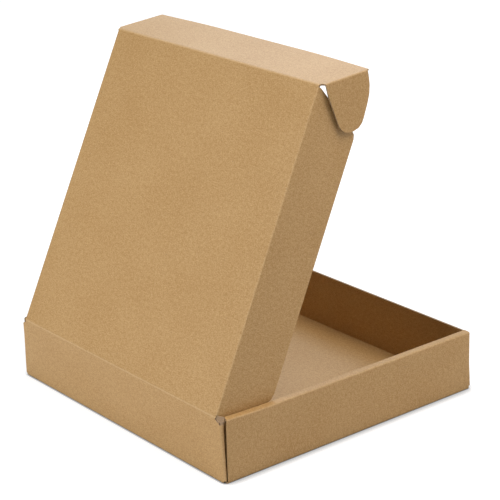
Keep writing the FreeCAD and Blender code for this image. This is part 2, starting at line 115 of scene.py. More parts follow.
def kraft_liner():
    """Brown kraft paper: soft clouds, fibre clumps, fine grain and a few dark and pale specks."""
    material = bpy.data.materials.new("kraft_liner")
    material.use_nodes = True
    tree = material.node_tree
    maths = partial(node_maths, tree)
    shader = tree.nodes["Principled BSDF"]
    shader.inputs["IOR"].default_value = 1.5
    shader.inputs["Specular IOR Level"].default_value = 0.5
    place = blank_place(tree)

    def noise(scale, detail, stretch=(1, 1, 1)):
        mapping = tree.nodes.new("ShaderNodeMapping")
        mapping.inputs["Scale"].default_value = stretch
        tree.links.new(place, mapping.inputs["Vector"])
        texture = tree.nodes.new("ShaderNodeTexNoise")
        texture.inputs["Scale"].default_value = scale
        texture.inputs["Detail"].default_value = detail
        texture.inputs["Roughness"].default_value = 0.6
        tree.links.new(mapping.outputs["Vector"], texture.inputs["Vector"])
        return texture.outputs["Fac"]

    def swing(texture, weight):
        """How far a noise is from its middle, times a weight."""
        return maths("MULTIPLY", maths("SUBTRACT", texture, 0.5), weight)

    def specks(texture, threshold, sharpness):
        """Spots where a noise rises over a threshold."""
        return maths("MULTIPLY", maths("SUBTRACT", texture, threshold), sharpness, clamp=True)

    def coloured(share, first, second):
        """The colour a share of the way from first to second."""
        mix = tree.nodes.new("ShaderNodeMix")
        mix.data_type = "RGBA"
        tree.links.new(share, mix.inputs["Factor"])
        for name, colour in (("A", first), ("B", second)):
            socket = next(s for s in mix.inputs if s.name == name and s.type == "RGBA")
            if isinstance(colour, tuple):
                socket.default_value = (*colour, 1)
            else:
                tree.links.new(colour, socket)
        return next(s for s in mix.outputs if s.type == "RGBA")

    clouds = noise(16, 2)
    clumps = noise(300, 3)
    grain = noise(950, 3)
    fibres = noise(520, 2, (0.9, 1.15, 1))
    tone = swing(clouds, 0.55)
    for texture, weight in ((clumps, 1.15), (grain, 3.0), (fibres, 0.8)):
        tone = maths("ADD", tone, swing(texture, weight))
    tone = maths("ADD", tone, 0.5, clamp=True)
    paper = coloured(tone, LINER_SHADE, LINER_LIGHT)
    paper = coloured(specks(noise(620, 1), 0.71, 9), paper, DARK_SPECK)
    paper = coloured(specks(noise(540, 1, (1.3, 1.3, 2)), 0.72, 8), paper, PALE_SPECK)

    # A pressed fold is rubbed paler, in patches; this pale mark is also a painted highlight along the fold.
    pressed = tree.nodes.new("ShaderNodeAttribute")
    pressed.attribute_name = "wear_and_highlight"
    patchy = maths("ADD", maths("MULTIPLY", clumps, 0.5), 0.05)
    paper = coloured(maths("MULTIPLY", pressed.outputs["Fac"], patchy), paper, LINER_WEAR_AND_HIGHLIGHT)
    tree.links.new(paper, shader.inputs["Base Color"])
    roughness = maths("ADD", maths("MULTIPLY", grain, 0.2), 0.5)
    tree.links.new(roughness, shader.inputs["Roughness"])

    # The paper's tooth, with the flutes showing through as faint ribs.
    flutes = flute_wave(tree, parted(tree, place)["X"])
    height = maths("ADD", maths("MULTIPLY", grain, 0.7), maths("MULTIPLY", fibres, 0.5))
    for texture, weight in ((clumps, 0.6), (flutes, 0.03)):
        height = maths("ADD", height, maths("MULTIPLY", texture, weight))
    emboss(tree, height, strength=0.5, depth=0.00012)
    return material


def cut_edge():
    """A die-cut edge: two pale liners with the fluted paper between them, and painted shade where it is
    hollow.
    """
    material = bpy.data.materials.new("cut_edge")
    material.use_nodes = True
    tree = material.node_tree
    maths = partial(node_maths, tree)
    shader = tree.nodes["Principled BSDF"]
    shader.inputs["Roughness"].default_value = 0.8

    # Shares of the board's thickness, and how sharply the paper ends there.
    middle = 0.5
    flute_swing = 0.3
    flute_half = 0.16
    liner_start = 0.36
    sharpness = 14
    place = blank_place(tree)
    axes = parted(tree, place)
    flute_place = maths("ADD", maths("MULTIPLY", flute_wave(tree, axes["X"]), flute_swing), middle)
    from_flute = maths("ABSOLUTE", maths("SUBTRACT", axes["Z"], flute_place))
    from_middle = maths("ABSOLUTE", maths("SUBTRACT", axes["Z"], middle))
    flute = maths("MULTIPLY", maths("SUBTRACT", flute_half, from_flute), sharpness, clamp=True)
    liner = maths("MULTIPLY", maths("SUBTRACT", from_middle, liner_start), sharpness, clamp=True)

    fibre = tree.nodes.new("ShaderNodeTexNoise")
    fibre.inputs["Scale"].default_value = 900
    tree.links.new(place, fibre.inputs["Vector"])
    torn = maths("ADD", maths("MULTIPLY", fibre.outputs["Fac"], 0.7), 0.6)
    paper = maths("MULTIPLY", maths("MAXIMUM", flute, liner), torn)
    # Where there is no paper, the hollow gets CORE_SHADE: painted shade.
    ramp = tree.nodes.new("ShaderNodeValToRGB")
    ramp.color_ramp.elements[0].color = (*CORE_SHADE, 1)
    ramp.color_ramp.elements[1].color = (*CORE_PAPER, 1)
    tree.links.new(paper, ramp.inputs["Fac"])
    tree.links.new(ramp.outputs["Color"], shader.inputs["Base Color"])
    emboss(tree, paper, strength=0.7, depth=0.0003)
    return material


KRAFT = kraft_liner()
CUT_EDGE = cut_edge()

# A spot is a place on both faces of the sheet, with its place on the flat blank and how hard it is
# creased, which sets its pale wear and painted highlight. A station is the same on a folded section alone,
# with its run along the section.
Spot = namedtuple("Spot", "outside inside blank crease")
Station = namedtuple("Station", "outside inside run crease")


def board(name, patches):
    """Joins patches of the sheet, each a list of rows of spots, into one closed piece of board."""
    mesh = bmesh.new()
    blank = mesh.verts.layers.float_vector.new("blank")
    # Each outside point keeps its fold's pale wear and painted highlight.
    wear_and_highlight = mesh.verts.layers.float.new("wear_and_highlight")
    found = {}

    def pair(spot):
        """The outside and inside points of a spot. Patches that meet at a spot share them."""
        key = tuple(round(value, 6) for value in (*spot.outside, *spot.inside))
        if key not in found:
            outside = mesh.verts.new(spot.outside)
            inside = mesh.verts.new(spot.inside)
            outside[blank] = (*spot.blank, 0)
            inside[blank] = (*spot.blank, 1)
            outside[wear_and_highlight] = spot.crease
            found[key] = outside, inside
        return found[key]

    for rows in patches:
        for near, far in zip(rows, rows[1:]):
            for corners in zip(near, near[1:], far[1:], far):
                ring = [pair(spot) for spot in corners]
                ring = [points for index, points in enumerate(ring) if points is not ring[index - 1]]
                if len(ring) > 2:
                    mesh.faces.new([outside for outside, inside in ring])
                    mesh.faces.new([inside for outside, inside in reversed(ring)])

    # The cut edge closes the sheet all round.
    partner = dict(found.values())
    rims = [edge for edge in mesh.edges if edge.is_boundary and edge.verts[0] in partner]
    for edge in rims:
        first, last = edge.verts
        face = mesh.faces.new([first, last, partner[last], partner[first]])
        face.material_index = 1
    bmesh.ops.recalc_face_normals(mesh, faces=mesh.faces)
    bmesh.ops.dissolve_degenerate(mesh, dist=1e-6, edges=mesh.edges)

    data = bpy.data.meshes.new(name)
    mesh.to_mesh(data)
    mesh.free()
    for face in data.polygons:
        face.use_smooth = True
    data.set_sharp_from_angle(angle=math.radians(35))
    data.materials.append(KRAFT)
    data.materials.append(CUT_EDGE)
    piece = bpy.data.objects.new(name, data)
    bpy.context.scene.collection.objects.link(piece)
    return piece


FOLD_ROUND = 0.0012
FOLD_PINCH = 0.0002
FOLD_REACH = BOARD + FOLD_PINCH
FOLD_STEPS = 6
EDGE_SUPPORT = 0.0012


def section(corners, spacing=0.009):
    """Walks the outside of a folded sheet. Every corner is a rounded fold to the left."""
    points = [Vector(corner) for corner in corners]
    stations = []
    run = 0

    def straight(start, end, inward):
        nonlocal run
        length = (end - start).length
        direction = (end - start).normalized()
        steps = round(length / spacing)
        marks = [0, EDGE_SUPPORT, length - EDGE_SUPPORT, length]
        marks += [length * step / steps for step in range(1, steps)]
        for mark in sorted({round(mark, 7) for mark in marks if 0 <= mark <= length}):
            point = start + direction * mark
            stations.append(Station(point, point + inward * BOARD, run + mark, 0))
        run += length

    for index in range(len(points) - 1):
        start, end = points[index], points[index + 1]
        folds_on = index < len(points) - 2
        direction = (end - start).normalized()
        inward = Vector((-direction.y, direction.x))
        first = start + direction * FOLD_REACH if index else start
        last = end - direction * FOLD_REACH if folds_on else end
        straight(first, last, inward)
        if not folds_on:
            continue
        onward = (points[index + 2] - end).normalized()
        outer = end - direction * FOLD_ROUND + onward * FOLD_ROUND
        inner = end - direction * FOLD_REACH + onward * FOLD_REACH
        for step in range(FOLD_STEPS + 1):
            turn = math.radians(90) * step / FOLD_STEPS
            arm = direction * math.sin(turn) - onward * math.cos(turn)
            # How hard this part of the fold is pressed, which sets its pale wear and painted highlight.
            pressed = math.sin(2 * turn)
            stations.append(Station(outer + arm * FOLD_ROUND, inner + arm * FOLD_PINCH, run, pressed))
            run += FOLD_ROUND * math.radians(90) / FOLD_STEPS
    return stations


def mixed(start, end, share):
    """The value a share of the way from start to end."""
    return start + (end - start) * share


def softly(share):
    """Turns an even rise from 0 to 1 into one that starts and ends softly."""
    share = max(0, min(1, share))
    return share**2 * (3 - 2 * share)


def evenly(start, end, count):
    """Count steps from start to end."""
    return [mixed(start, end, step / count) for step in range(count + 1)]


def mirrored(places):
    """The places and their mirror images, in order."""
    return sorted({round(side * place, 6) for place in places for side in (-1, 1)})


def rounded(corners):
    """The points of an outline whose corners may be round: (across, up) or (across, up, radius)."""
    points = []
    for index, (across, up, *radius) in enumerate(corners):
        corner = Vector((across, up))
        if not radius:
            points.append(corner)
            continue
        back = (Vector(corners[index - 1][:2]) - corner).normalized()
        onward = (Vector(corners[(index + 1) % len(corners)][:2]) - corner).normalized()
        half_angle = back.angle(onward) / 2
        reach = radius[0] / math.tan(half_angle)
        centre = corner + (back + onward).normalized() * (radius[0] / math.sin(half_angle))
        start = corner + back * reach - centre
        end = corner + onward * reach - centre
        turn = start.angle_signed(end)
        steps = max(2, round(abs(math.degrees(turn)) / 12))
        for step in range(steps + 1):
            points.append(centre + Matrix.Rotation(-turn * step / steps, 2) @ start)
    return points


def span(outline, up):
    """Where a level line enters and leaves an outline."""
    found = []
    for index, (across, level) in enumerate(outline):
        last_across, last_level = outline[index - 1]
        if min(level, last_level) - 1e-9 <= up <= max(level, last_level) + 1e-9:
            if abs(level - last_level) < 1e-9:
                found += [across, last_across]
            else:
                found.append(mixed(last_across, across, (up - last_level) / (level - last_level)))
    return min(found), max(found)


tray_low, tray_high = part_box("tray")
HALF_WIDTH = tray_high.x
HALF_DEPTH = -tray_low.y
HINGE = Vector((0, tray_high.y, tray_high.z))
HINGE_LEAN = HINGE.y - HALF_DEPTH

# The floor sheet, with a slot for each of the four tabs. It bellies up a hair in the middle.
RIM_WIDTH = 0.0074
RIM_INSIDE = HALF_WIDTH - RIM_WIDTH
WALL_FOOT_HALF = HALF_WIDTH - 0.0019
FLOOR_HALF = WALL_FOOT_HALF - BOARD
FLOOR_MIDDLE_HALF = 0.1330
FLOOR_BELLY = 0.0004
FLOOR_BELLY_HALF = 0.13
CORNER_RELIEF = HALF_DEPTH - BOARD - 0.0004
TAB_HALF = 0.0163
TAB_PLACE = 0.075
TAB_NEAR = TAB_PLACE - TAB_HALF
TAB_FAR = TAB_PLACE + TAB_HALF
SLOT_PLAY = 0.0003

# A round relief, cut below each end of the hinge crease.
RELIEF_ROUND = 0.0018
RELIEF_PLACE = RIM_INSIDE + 0.0004
RELIEF_DROP = 0.0011
RELIEF_SLOPE = 0.3

# The floor's columns run on up the end walls, where they lie a little closer together. Five of them
# on each side meet the relief's round at the hinge wall's crest.
CREST_STRETCH = 1.0098
floor_columns = [RIM_INSIDE - SLOT_PLAY, RIM_INSIDE + BOARD + SLOT_PLAY, FLOOR_HALF - 0.0010, FLOOR_HALF]
for angle in (0, 20, 40, 60, 80):
    crest_place = RELIEF_PLACE - RELIEF_ROUND * math.cos(math.radians(angle))
    floor_columns.append(CREST_STRETCH * crest_place)
floor_columns = mirrored(floor_columns + evenly(0, FLOOR_MIDDLE_HALF, 12))
floor_rows = evenly(0, TAB_NEAR, 5) + evenly(TAB_NEAR, TAB_FAR, 4)
floor_rows += evenly(TAB_FAR, CORNER_RELIEF - EDGE_SUPPORT, 4)
floor_rows = mirrored(floor_rows + [CORNER_RELIEF])


def floor_spot(x, y):
    belly_x = max(0, math.cos(math.pi * x / 2 / FLOOR_BELLY_HALF))
    belly_y = max(0, math.cos(math.pi * y / 2 / FLOOR_BELLY_HALF))
    lift = FLOOR_BELLY * belly_x * belly_y
    return Spot(Vector((x, y, lift)), Vector((x, y, BOARD + lift)), (x, y), 0)


def in_slot(x, y):
    across = abs(abs(x) - RIM_INSIDE - BOARD / 2) < BOARD / 2 + SLOT_PLAY
    return across and abs(abs(y) - TAB_PLACE) < TAB_HALF


tray_patches = []
for left, right in zip(floor_columns, floor_columns[1:]):
    for front, back in zip(floor_rows, floor_rows[1:]):
        if not in_slot((left + right) / 2, (front + back) / 2):
            tray_patches.append([[floor_spot(x, y) for x in (left, right)] for y in (front, back)])

# Side walls: up, over the flat rim, and down again to the floor. The board's spring pushes the rim
# up a little, most at the hinge corners.
SIDE_HEIGHT = 0.0525
SIDE_BELLY = 0.0004
SIDE_END = HALF_DEPTH - 0.0024
SIDE_END_BEVEL = 0.0014
RIM_END_OUTSIDE = HALF_DEPTH - 0.0030
RIM_END_INSIDE = HALF_DEPTH - 0.0065
RIM_FRONT_END = CORNER_RELIEF
RIM_SPRING = 0.0008
RIM_FLARE = 0.0012
RIM_FLARE_START = 0.090
RIM_FLARE_LENGTH = 0.045
FOOT = 0.0017
FOOT_END = HALF_DEPTH - 0.0032
TAB_END = 0.0001
side_section = section(
    [
        (FLOOR_HALF, 0),
        (HALF_WIDTH, 0),
        (HALF_WIDTH, SIDE_HEIGHT),
        (RIM_INSIDE, SIDE_HEIGHT),
        (RIM_INSIDE, FOOT),
    ]
)


def side_reach(station, row):
    """How far the rolled wall reaches along the box at this place in its section."""
    x, z = station.outside
    at_hinge = row > 0
    rim_inside = RIM_END_INSIDE if at_hinge else RIM_FRONT_END
    rim_outside = RIM_END_OUTSIDE if at_hinge else SIDE_END
    if z < FOLD_ROUND and x > RIM_INSIDE + BOARD:
        return mixed(CORNER_RELIEF, SIDE_END, z / FOLD_ROUND)
    if x > HALF_WIDTH - FOLD_ROUND and z < SIDE_HEIGHT - FOLD_ROUND:
        return SIDE_END
    if z > SIDE_HEIGHT - FOLD_ROUND:
        return mixed(rim_inside, rim_outside, (x - RIM_INSIDE) / RIM_WIDTH)
    return mixed(FOOT_END, rim_inside, z / SIDE_HEIGHT)


def rim_rise(y):
    """How far the rim is pushed up."""
    return RIM_SPRING + RIM_FLARE * softly((y - RIM_FLARE_START) / RIM_FLARE_LENGTH)


def side_spot(side, station, row):
    """A spot of a rolled wall. Past the tabs the rows are stretched to reach the wall's ends."""
    (outside_x, outside_z), (inside_x, inside_z) = station.outside, station.inside
    outer_panel = outside_x > inside_x
    y = row
    if abs(row) > TAB_FAR:
        share = (abs(row) - TAB_FAR) / (CORNER_RELIEF - TAB_FAR)
        y = math.copysign(mixed(TAB_FAR, side_reach(station, row), share), row)
    inside_y = y
    if outer_panel and FOLD_ROUND < outside_z < SIDE_HEIGHT and abs(row) > CORNER_RELIEF - 1e-6:
        inside_y -= math.copysign(SIDE_END_BEVEL, y)

    give = 0
    if FOLD_ROUND <= outside_z <= SIDE_HEIGHT - FOLD_ROUND:
        along = math.cos(math.pi * y / 2 / HALF_DEPTH)
        give = SIDE_BELLY * along * math.sin(math.pi * outside_z / SIDE_HEIGHT)
    shift = -give if outer_panel else give
    rise = rim_rise(y) * max(0, outside_z - FOOT) / (SIDE_HEIGHT - FOOT)
    return Spot(
        Vector((side * (outside_x + shift), y, outside_z + rise)),
        Vector((side * (inside_x + shift), inside_y, inside_z + rise)),
        (side * (FLOOR_HALF + station.run), y),
        station.crease,
    )


def tab_spots(side, end, z, width):
    """A row of spots across a locking tab, whose width is a share of its width at the foot."""
    spots = []
    for row in floor_rows:
        off = row - end * TAB_PLACE
        if abs(off) < TAB_HALF + 1e-5:
            spot = side_spot(side, side_section[-1], end * TAB_PLACE + off * width)
            outside, inside = spot.outside.copy(), spot.inside.copy()
            outside.z = inside.z = z
            spots.append(Spot(outside, inside, spot.blank, 0))
    return spots


for side in (-1, 1):
    tray_patches.append([[side_spot(side, station, row) for row in floor_rows] for station in side_section])
    for end in (-1, 1):
        tab_foot = tab_spots(side, end, FOOT, 1)
        tab_tip = tab_spots(side, end, TAB_END, 1 - 2 * SLOT_PLAY / TAB_HALF)
        tray_patches.append([tab_foot, tab_tip])

# End walls, each with an ear folded round at both ends. The hinge wall is a little taller and leans
# out, and a round relief ends its crease.
CREASE_REACH = 0.0015
FRONT_HEIGHT = SIDE_HEIGHT - 0.0008
HINGE_WALL_HEIGHT = HINGE.z - CREASE_REACH
END_BELLY = 0.0005
WALL_SLOPE = 0.0022 / SIDE_HEIGHT
CORNER_FOOT_HALF = HALF_WIDTH - 0.0003
CORNER_DIP = 0.0016
CORNER_DIP_HEIGHT = 0.045
CORNER_TOP_ROUND = 0.0029
EAR_LIFT = 0.0025
EAR_TOP = SIDE_HEIGHT - 0.002
EAR_LENGTH = 0.062
EAR_ROUND = 0.007
EAR_TUCKED = 0.0038
HOLLOW_PLACE = 0.0044
HOLLOW_HALF = 0.0019
HOLLOW_DEPTH = 0.0010

# The ear's outline is turned on its side, so that span() gives the ear's low and high edge.
ear_outline = rounded(
    [(0, EAR_LIFT), (EAR_LENGTH, EAR_LIFT, EAR_ROUND), (EAR_LENGTH, EAR_TOP, EAR_ROUND), (0, EAR_TOP)]
)
ear_outline = [(up, length) for length, up in ear_outline]
ear_lengths = [EAR_TUCKED, 0.0050, HOLLOW_PLACE + HOLLOW_HALF]
ear_lengths += evenly(0.012, EAR_LENGTH - EAR_ROUND, 5)
for angle in (18, 36, 54, 72, 83):
    ear_lengths.append(EAR_LENGTH - EAR_ROUND * (1 - math.sin(math.radians(angle))))
ear_lengths.append(EAR_LENGTH - 1e-5)


def relief_depth(across):
    """How far below the hinge crease the wall's corner is cut away."""
    off = abs(across) - RELIEF_PLACE
    if off < -RELIEF_ROUND:
        return 0
    if off < 0:
        return RELIEF_DROP + math.sqrt(RELIEF_ROUND**2 - off**2)
    return min(RELIEF_DROP + RELIEF_ROUND + RELIEF_SLOPE * off, HINGE.z - EAR_TOP)


def hinge_crest(x):
    return HINGE.z - max(CREASE_REACH, relief_depth(x))


def corner_half(z):
    """Where the end wall turns into its ear, at this height."""
    return CORNER_FOOT_HALF - CORNER_DIP * softly(z / CORNER_DIP_HEIGHT)


def corner_rounds(z):
    """The outside and inside radius of that fold, which opens towards the top."""
    outer = mixed(FOLD_ROUND, CORNER_TOP_ROUND, max(0, min(1, z / SIDE_HEIGHT)))
    return outer, max(FOLD_PINCH, outer - BOARD)


def ear_half(length, z, end):
    """The ear's outer face. Past the fold it steps in behind the rolled wall's edge.

    The hinge wall's ears are pressed in a little more there, which leaves a shallow hollow.
    """
    at_hinge = end > 0
    start = corner_rounds(z)[0]
    tucked = min(1, max(0, (length - start) / (EAR_TUCKED - start)))
    hollow = max(0, 1 - abs(length - HOLLOW_PLACE) / HOLLOW_HALF) if at_hinge else 0
    half = mixed(corner_half(z), WALL_FOOT_HALF - WALL_SLOPE * z, tucked)
    return half - HOLLOW_DEPTH * hollow * z / SIDE_HEIGHT


def end_wall(end, top_y, top_z, crest):
    """One end wall with its two ears. crest gives the height of its top edge across the box."""
    lean = (top_y - HALF_DEPTH) / top_z

    def wall_station(z):
        outside = Vector((HALF_DEPTH + lean * z, z))
        return Station(outside, outside + Vector((-BOARD, BOARD * lean)), CORNER_RELIEF + z, 0)

    def wall_spot(column, station):
        """A spot of the wall. It narrows from the floor's width to the place where the ears fold."""
        z = station.outside.y
        level = max(z, EAR_LIFT)
        outer, inner = corner_rounds(level)
        outside_x = column / FLOOR_HALF * (corner_half(level) - outer)
        inside_x = column / FLOOR_HALF * (corner_half(level) - BOARD - inner)
        if z < EAR_LIFT:
            outside_x = mixed(column, outside_x, max(0, z) / EAR_LIFT)
            inside_x = mixed(column, inside_x, max(0, z) / EAR_LIFT)
        outside, inside = station.outside.copy(), station.inside.copy()
        if z > EAR_TOP:
            share = (z - EAR_TOP) / (top_z - EAR_TOP)
            for point, x in ((outside, outside_x), (inside, inside_x)):
                height = mixed(EAR_TOP, crest(x), share)
                point.x += lean * (height - z)
                point.y = height
        give = END_BELLY * math.sin(math.pi * min(1, z / top_z))
        give *= math.cos(math.pi * column / 2 / FLOOR_HALF)
        return Spot(
            Vector((outside_x, end * (outside.x - give), outside.y)),
            Vector((inside_x, end * (inside.x - give), inside.y)),
            (column, end * (CORNER_RELIEF + station.run)),
            station.crease,
        )

    def corner_spot(side, station, turn):
        """A spot of the round fold from the wall into its ear."""
        z = station.outside.y
        outer, inner = corner_rounds(z)
        outside_x = corner_half(z) - outer * (1 - math.sin(turn))
        outside_y = station.outside.x - outer * (1 - math.cos(turn))
        inside_x = corner_half(z) - BOARD - inner * (1 - math.sin(turn))
        inside_y = station.inside.x - inner * (1 - math.cos(turn))
        return Spot(
            Vector((side * outside_x, end * outside_y, z)),
            Vector((side * inside_x, end * inside_y, z)),
            (side * (FLOOR_HALF + outer * turn), end * (CORNER_RELIEF + z)),
            # The fold's pale wear and painted highlight, strongest halfway round.
            math.sin(2 * turn),
        )

    def ear_spot(side, length, share):
        """A spot of the ear, at a share of the way from its low edge to its high one."""
        z = mixed(*span(ear_outline, length), share)
        half = ear_half(length, z, end)
        y = HALF_DEPTH - length
        return Spot(
            Vector((side * half, end * y, z)),
            Vector((side * (half - BOARD), end * y, z)),
            (side * (FLOOR_HALF + length), end * (CORNER_RELIEF + z)),
            0,
        )

    foot_section = section([(CORNER_RELIEF, 0), (HALF_DEPTH, 0), (top_y, top_z)])
    foot_stations = [station for station in foot_section if station.outside.y < EAR_LIFT - 0.0003]
    ear_stations = [wall_station(z) for z in evenly(EAR_LIFT, EAR_TOP, 7)]
    top_stations = [wall_station(z) for z in evenly(EAR_TOP, top_z, 2)[1:]]
    wall_stations = foot_stations + ear_stations + top_stations
    patches = [[[wall_spot(column, station) for column in floor_columns] for station in wall_stations]]
    turns = evenly(0, math.radians(90), FOLD_STEPS)[1:]
    for side in (-1, 1):
        ear = []
        for station in ear_stations:
            share = (station.outside.y - EAR_LIFT) / (EAR_TOP - EAR_LIFT)
            row = [wall_spot(side * FLOOR_HALF, station)]
            row += [corner_spot(side, station, turn) for turn in turns]
            row += [ear_spot(side, length, share) for length in ear_lengths]
            ear.append(row)
        patches.append(ear)
    return patches


hinge_wall_y = HALF_DEPTH + HINGE_LEAN * HINGE_WALL_HEIGHT / HINGE.z
tray_patches += end_wall(-1, HALF_DEPTH, FRONT_HEIGHT, lambda x: FRONT_HEIGHT)
tray_patches += end_wall(1, hinge_wall_y, HINGE_WALL_HEIGHT, hinge_crest)

tray = board("tray_board", tray_patches)
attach(tray, "tray")
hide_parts("tray")

# ---------------------------------------------------------------------------------------------
# Lid
# The same sheet, carried on past the hinge crease: one large panel with a wing folded down each
# side. The wings drop inside the rolled side walls when the box is shut.
# ---------------------------------------------------------------------------------------------

LID_OPENING = math.radians(65)
LID_LENGTH = 0.270
LID_BACK_HALF = RIM_INSIDE - 0.0004
LID_NARROWING = 0.0036
LID_BELLY = 0.0007
LID_BLANK_START = 0.2
PANEL_MARGIN = 0.004
PANEL_HALF = LID_BACK_HALF - PANEL_MARGIN
WING_DEPTH = 0.053
WING_FRONT = LID_LENGTH - 0.0006
WING_START = 0.0019
WING_START_DEPTH = 0.001
LID_ALONG = Vector((0, -math.cos(LID_OPENING), math.sin(LID_OPENING)))
LID_IN = Vector((0, -math.sin(LID_OPENING), -math.cos(LID_OPENING)))

# The board's inside stops this far from the middle of the hinge crease and of the tuck crease.
CREASE_INSIDE = 0.0016
TUCK_INSIDE = 0.0021

lid_section = section([(PANEL_HALF, 0), (LID_BACK_HALF, 0), (LID_BACK_HALF, WING_DEPTH)], 0.005)
wing_outline = rounded(
    [
        (0.0020, 0),
        (0.0020, 0.014),
        (0.0207, WING_DEPTH, 0.010),
        (WING_FRONT - 0.027, WING_DEPTH, 0.007),
        (WING_FRONT, 0),
    ]
)
lid_shares = [0, 0.006, *evenly(0.04, 0.96, 22), 0.994, 1]
panel_shares = mirrored([*evenly(0, 0.97, 13), 0.985, 1])


def lid_point(x, along, depth):
    return HINGE + Vector((x, 0, 0)) + LID_ALONG * along + LID_IN * depth


def lid_half(along):
    return LID_BACK_HALF - LID_NARROWING * along / LID_LENGTH


def panel_places(share):
    """How far along the lid the panel is at a share of its length, on its outside and its inside."""
    along = mixed(CREASE_REACH, LID_LENGTH - CREASE_REACH, share)
    return along, min(max(along, CREASE_INSIDE), LID_LENGTH - TUCK_INSIDE)


def panel_spot(across, share):
    """A spot of the panel, at a share of its half width and a share of its length."""
    along, inside_along = panel_places(share)
    x = across * (lid_half(along) - PANEL_MARGIN)
    give = LID_BELLY * math.cos(math.pi * across / 2) * math.sin(math.pi * along / LID_LENGTH)
    outside = lid_point(x, along, give)
    inside = lid_point(x, inside_along, BOARD + give)
    return Spot(outside, inside, (x, LID_BLANK_START + along), 0)


def wing_spot(side, station, share):
    """A spot of the panel's margin, of the fold or of the wing, wherever the station is."""
    depth = station.outside.y
    if depth <= 1e-6:
        along, inside_along = panel_places(share)
    else:
        first, last = span(wing_outline, min(depth, WING_DEPTH - 1e-7))
        first = mixed(WING_START, first, min(1, depth / WING_START_DEPTH))
        last = min(last, LID_LENGTH - (CREASE_REACH if depth < BOARD else TUCK_INSIDE))
        along = inside_along = mixed(first, last, share)
    outside_x = side * (lid_half(along) + station.outside.x - LID_BACK_HALF)
    inside_x = side * (lid_half(along) + station.inside.x - LID_BACK_HALF)
    outside = lid_point(outside_x, along, depth)
    inside = lid_point(inside_x, inside_along, station.inside.y)
    blank = (side * (PANEL_HALF + station.run), LID_BLANK_START + along)
    return Spot(outside, inside, blank, station.crease)


lid_patches = [[[panel_spot(across, share) for across in panel_shares] for share in lid_shares]]
for side in (-1, 1):
    panel_edge = [panel_spot(side, share) for share in lid_shares]
    wing = [[wing_spot(side, station, share) for share in lid_shares] for station in lid_section[1:]]
    lid_patches.append([panel_edge] + wing)

lid = board("lid_board", lid_patches)
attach(lid, "lid")
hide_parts("lid")

# ---------------------------------------------------------------------------------------------
# Tuck flap
# The end of the sheet: the lid's front flap, with a rounded lock ear folded at each end that slides
# down behind the side walls' ears.
# ---------------------------------------------------------------------------------------------

FLAP_FOLD = math.radians(60.5)
FLAP_HALF = RIM_INSIDE - 0.0004
FLAP_MARGIN = 0.0038
FLAP_PANEL_HALF = FLAP_HALF - FLAP_MARGIN
FLAP_DEPTH = 0.0525
FLAP_END_DEPTH = 0.0495
FLAP_BEND_PLACE = 0.075
FLAP_BEND_HALF = 0.0217
FLAP_BELLY = 0.0004
FLAP_BLANK_START = 0.48
LOCK_DEPTH = 0.0455
NOTCH_PLACE = 0.1358
NOTCH_LIFT = 0.0012
NOTCH_ROUND = 0.0022
TUCK = lid_point(0, LID_LENGTH, 0)
FLAP_ALONG = LID_ALONG * math.cos(FLAP_FOLD) + LID_IN * math.sin(FLAP_FOLD)
FLAP_IN = LID_IN * math.cos(FLAP_FOLD) - LID_ALONG * math.sin(FLAP_FOLD)

lock_section = section([(FLAP_PANEL_HALF, 0), (FLAP_HALF, 0), (FLAP_HALF, LOCK_DEPTH)], 0.0022)
lock_outline = rounded(
    [
        (0.0038, 0),
        (0.0059, 0.0115, 0.030),
        (0.0165, LOCK_DEPTH, 0.0123),
        (0.0363, LOCK_DEPTH, 0.0123),
        (0.0496, 0.016, 0.038),
        (0.0473, 0),
    ]
)
flap_shares = [0, 0.02, *evenly(0.08, 0.92, 8), 0.98, 1]
flap_columns = mirrored([*evenly(0, FLAP_PANEL_HALF - EDGE_SUPPORT, 14), FLAP_PANEL_HALF])


def flap_point(x, along, depth):
    return TUCK + Vector((x, 0, 0)) + FLAP_ALONG * along + FLAP_IN * depth


def notch_edge(x):
    """How far the round notch beside the lock ear reaches into the flap."""
    off = abs(abs(x) - NOTCH_PLACE)
    return NOTCH_LIFT + math.sqrt(NOTCH_ROUND**2 - off**2) if off < NOTCH_ROUND else 0


def flap_reach(x):
    """How deep the flap is here: it is straight in the middle and slopes softly to its ends."""
    slope = (FLAP_DEPTH - FLAP_END_DEPTH) / (FLAP_HALF - FLAP_BEND_PLACE)
    past = abs(x) - (FLAP_BEND_PLACE - FLAP_BEND_HALF)
    if past <= 0:
        return FLAP_DEPTH
    if past < 2 * FLAP_BEND_HALF:
        return FLAP_DEPTH - past**2 * slope / (4 * FLAP_BEND_HALF)
    return FLAP_DEPTH - (past - FLAP_BEND_HALF) * slope


def flap_places(x, share):
    """How far along the flap it is at a share of its depth, on its outside and its inside."""
    along = mixed(max(CREASE_REACH, notch_edge(x)), flap_reach(x), share)
    return along, max(along, TUCK_INSIDE)


def flap_spot(x, share):
    """A spot of the flap's panel."""
    along, inside_along = flap_places(x, share)
    give = FLAP_BELLY * math.cos(math.pi * x / 2 / FLAP_HALF) * math.sin(math.pi * along / FLAP_DEPTH)
    outside = flap_point(x, along, give)
    inside = flap_point(x, inside_along, BOARD + give)
    return Spot(outside, inside, (x, FLAP_BLANK_START + along), 0)


def lock_spot(side, station, share):
    """A spot of the flap's margin, of the fold or of the lock ear, wherever the station is."""
    depth = station.outside.y
    if depth <= 1e-6:
        along, inside_along = flap_places(station.outside.x, share)
    else:
        along = inside_along = mixed(*span(lock_outline, min(depth, LOCK_DEPTH - 1e-7)), share)
    outside = flap_point(side * station.outside.x, along, depth)
    inside = flap_point(side * station.inside.x, inside_along, station.inside.y)
    blank = (side * (FLAP_PANEL_HALF + station.run), FLAP_BLANK_START + along)
    return Spot(outside, inside, blank, station.crease)


